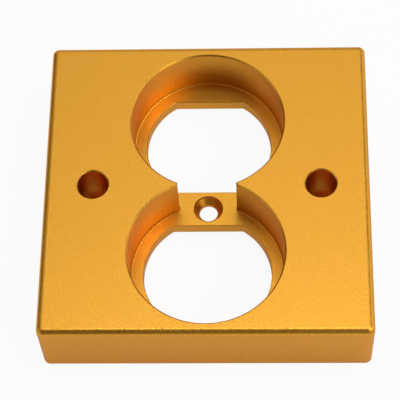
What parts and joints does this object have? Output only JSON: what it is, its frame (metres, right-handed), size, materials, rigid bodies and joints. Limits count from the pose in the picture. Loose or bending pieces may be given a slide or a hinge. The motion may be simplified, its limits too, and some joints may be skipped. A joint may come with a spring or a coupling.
{
  "type": "duplex outlet surround",
  "caption": "Thick square aluminium surround for a duplex mains outlet, with two joined round plug pockets, flat-sided openings and screw holes.",
  "frame": {"origin": "middle of the back plane, where the block meets the wall box", "axes": "+Z out of the wall towards the room, X through the two fixing holes, Y through the two outlets"},
  "size_m": [0.086, 0.086, 0.02],
  "materials": {
    "anodised_aluminium": "bead-blasted and gold anodised"
  },
  "bodies": {
    "root": {"outlet_surround": "anodised_aluminium"}
  },
  "joints": []
}
